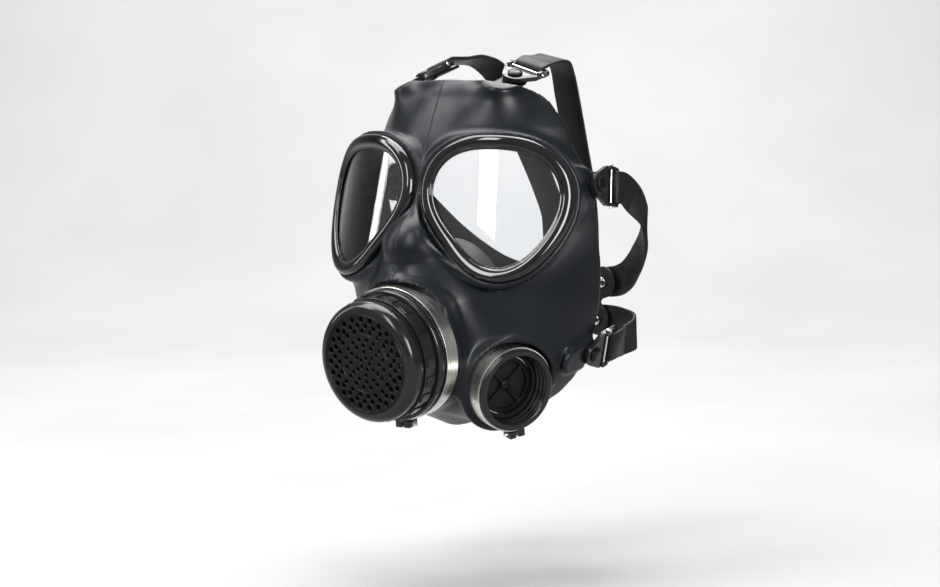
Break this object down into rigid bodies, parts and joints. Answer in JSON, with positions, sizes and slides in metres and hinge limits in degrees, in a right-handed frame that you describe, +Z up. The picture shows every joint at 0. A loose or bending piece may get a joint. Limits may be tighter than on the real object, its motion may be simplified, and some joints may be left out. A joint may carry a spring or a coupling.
{
  "type": "full face respirator",
  "caption": "Rubber full-face respirator with two curved lenses, a front speech and exhalation unit, a side filter socket, an inner nose cup and a six-strap head harness.",
  "frame": {"origin": "centre of the wearer's head, level with the lenses, where the head mount is", "axes": "the face looks along -Y, +Z is up and +X is the wearer's left, the side of the filter socket"},
  "size_m": [0.1802, 0.2069, 0.2236],
  "materials": {
    "face_rubber": "satin",
    "inner_rubber": "matte",
    "strap_rubber": "matte",
    "valve_rubber": "matte",
    "rim_plastic": "gloss",
    "cap_plastic": "gloss",
    "buckle_plastic": "gloss",
    "clear_lens": "clear",
    "diaphragm_foil": "satin",
    "brushed_band": "brushed",
    "bright_steel": "polished"
  },
  "bodies": {
    "facepiece_body": {"facepiece": "face_rubber", "lens_left": "clear_lens", "lens_right": "clear_lens", "lens_rim_left": "rim_plastic", "lens_rim_right": "rim_plastic", "front_housing": "cap_plastic", "speech_diaphragm": "diaphragm_foil", "diaphragm_ring": "cap_plastic", "front_band": "brushed_band", "front_band_block": "buckle_plastic", "front_band_screw": "bright_steel", "inlet_socket": "cap_plastic", "inlet_gasket": "valve_rubber", "inlet_valve_seat": "cap_plastic", "inlet_band": "brushed_band", "inlet_band_block": "buckle_plastic", "inlet_band_screw": "bright_steel", "nose_cup": "inner_rubber", "cup_valve_seat_left": "cap_plastic", "cup_valve_seat_right": "cap_plastic", "head_pad": "strap_rubber", "top_stud_left": "bright_steel", "top_strap_left": "strap_rubber", "top_rivet_left": "bright_steel", "top_stud_right": "bright_steel", "top_strap_right": "strap_rubber", "top_rivet_right": "bright_steel", "temple_stud_left": "bright_steel", "temple_strap_left": "strap_rubber", "temple_rivet_left": "bright_steel", "temple_stud_right": "bright_steel", "temple_strap_right": "strap_rubber", "temple_rivet_right": "bright_steel", "lower_stud_left": "bright_steel", "lower_strap_left": "strap_rubber", "lower_rivet_left": "bright_steel", "lower_stud_right": "bright_steel", "lower_strap_right": "strap_rubber", "lower_rivet_right": "bright_steel"},
    "bayonet_ring_body": {"bayonet_ring": "cap_plastic"},
    "cover_body": {"perforated_cover": "cap_plastic"},
    "exhalation_valve_body": {"exhalation_valve": "valve_rubber"},
    "inhalation_valve_body": {"inhalation_valve": "valve_rubber"},
    "cup_valve_left_body": {"cup_valve_left": "valve_rubber"},
    "cup_valve_right_body": {"cup_valve_right": "valve_rubber"},
    "top_buckle_left_body": {"top_buckle_left": "buckle_plastic"},
    "top_pin_left_body": {"top_pin_left": "bright_steel"},
    "top_buckle_right_body": {"top_buckle_right": "buckle_plastic"},
    "top_pin_right_body": {"top_pin_right": "bright_steel"},
    "temple_buckle_left_body": {"temple_buckle_left": "buckle_plastic"},
    "temple_pin_left_body": {"temple_pin_left": "bright_steel"},
    "temple_buckle_right_body": {"temple_buckle_right": "buckle_plastic"},
    "temple_pin_right_body": {"temple_pin_right": "bright_steel"},
    "lower_buckle_left_body": {"lower_buckle_left": "buckle_plastic"},
    "lower_pin_left_body": {"lower_pin_left": "bright_steel"},
    "lower_buckle_right_body": {"lower_buckle_right": "buckle_plastic"},
    "lower_pin_right_body": {"lower_pin_right": "bright_steel"}
  },
  "joints": [
    {"name": "bayonet_turn", "type": "hinge", "parent": "facepiece_body", "child": "bayonet_ring_body", "pos_m": [0, -0.14451, -0.08243], "axis": [0, -0.994, -0.109], "range_deg": [0, 30]},
    {"name": "cover_pull_off", "type": "slide", "parent": "bayonet_ring_body", "child": "cover_body", "axis": [0, -0.994, -0.109], "range_m": [0, 0.028]},
    {"name": "exhalation_valve_lift", "type": "slide", "parent": "facepiece_body", "child": "exhalation_valve_body", "axis": [0, -0.994, -0.109], "range_m": [0, 0.0018], "stiffness_N_per_m": 30},
    {"name": "inhalation_valve_lift", "type": "slide", "parent": "facepiece_body", "child": "inhalation_valve_body", "axis": [-0.9337, 0.3139, 0.172], "range_m": [0, 0.0016], "stiffness_N_per_m": 30},
    {"name": "cup_valve_left_lift", "type": "slide", "parent": "facepiece_body", "child": "cup_valve_left_body", "axis": [-0.988, 0.1111, -0.1071], "range_m": [0, 0.0012], "stiffness_N_per_m": 30},
    {"name": "cup_valve_right_lift", "type": "slide", "parent": "facepiece_body", "child": "cup_valve_right_body", "axis": [0.988, 0.1111, -0.1071], "range_m": [0, 0.0012], "stiffness_N_per_m": 30},
    {"name": "top_buckle_left_swivel", "type": "hinge", "parent": "facepiece_body", "child": "top_buckle_left_body", "pos_m": [0.034, -0.0585, 0.0755], "axis": [0.3211, -0.2464, 0.9144], "range_deg": [-10, 10], "deforming": ["top_strap_left"]},
    {"name": "top_pin_left_roll", "type": "hinge", "parent": "top_buckle_left_body", "child": "top_pin_left_body", "pos_m": [0.03483, -0.049, 0.08061], "axis": [-0.947, -0.0835, 0.3101], "continuous": true},
    {"name": "top_buckle_right_swivel", "type": "hinge", "parent": "facepiece_body", "child": "top_buckle_right_body", "pos_m": [-0.034, -0.0585, 0.0755], "axis": [-0.3211, -0.2464, 0.9144], "range_deg": [-10, 10], "deforming": ["top_strap_right"]},
    {"name": "top_pin_right_roll", "type": "hinge", "parent": "top_buckle_right_body", "child": "top_pin_right_body", "pos_m": [-0.03483, -0.049, 0.08061], "axis": [0.947, -0.0835, 0.3101], "continuous": true},
    {"name": "temple_buckle_left_swivel", "type": "hinge", "parent": "facepiece_body", "child": "temple_buckle_left_body", "pos_m": [0.0805, -0.042, 0.013], "axis": [0.9966, 0.0148, 0.0807], "range_deg": [-10, 10], "deforming": ["temple_strap_left"]},
    {"name": "temple_pin_left_roll", "type": "hinge", "parent": "temple_buckle_left_body", "child": "temple_pin_left_body", "pos_m": [0.08309, -0.03163, 0.01131], "axis": [-0.082, 0.18, 0.9802], "continuous": true},
    {"name": "temple_buckle_right_swivel", "type": "hinge", "parent": "facepiece_body", "child": "temple_buckle_right_body", "pos_m": [-0.0805, -0.042, 0.013], "axis": [-0.9966, 0.0148, 0.0807], "range_deg": [-10, 10], "deforming": ["temple_strap_right"]},
    {"name": "temple_pin_right_roll", "type": "hinge", "parent": "temple_buckle_right_body", "child": "temple_pin_right_body", "pos_m": [-0.08309, -0.03163, 0.01131], "axis": [0.082, 0.18, 0.9802], "continuous": true},
    {"name": "lower_buckle_left_swivel", "type": "hinge", "parent": "facepiece_body", "child": "lower_buckle_left_body", "pos_m": [0.075, -0.043, -0.086], "axis": [0.9353, 0.0388, -0.3517], "range_deg": [-10, 10], "deforming": ["lower_strap_left"]},
    {"name": "lower_pin_left_roll", "type": "hinge", "parent": "lower_buckle_left_body", "child": "lower_pin_left_body", "pos_m": [0.07796, -0.03272, -0.0844], "axis": [0.3503, -0.2419, 0.9049], "continuous": true},
    {"name": "lower_buckle_right_swivel", "type": "hinge", "parent": "facepiece_body", "child": "lower_buckle_right_body", "pos_m": [-0.075, -0.043, -0.086], "axis": [-0.9353, 0.0388, -0.3517], "range_deg": [-10, 10], "deforming": ["lower_strap_right"]},
    {"name": "lower_pin_right_roll", "type": "hinge", "parent": "lower_buckle_right_body", "child": "lower_pin_right_body", "pos_m": [-0.07796, -0.03272, -0.0844], "axis": [-0.3503, -0.2419, 0.9049], "continuous": true}
  ]
}
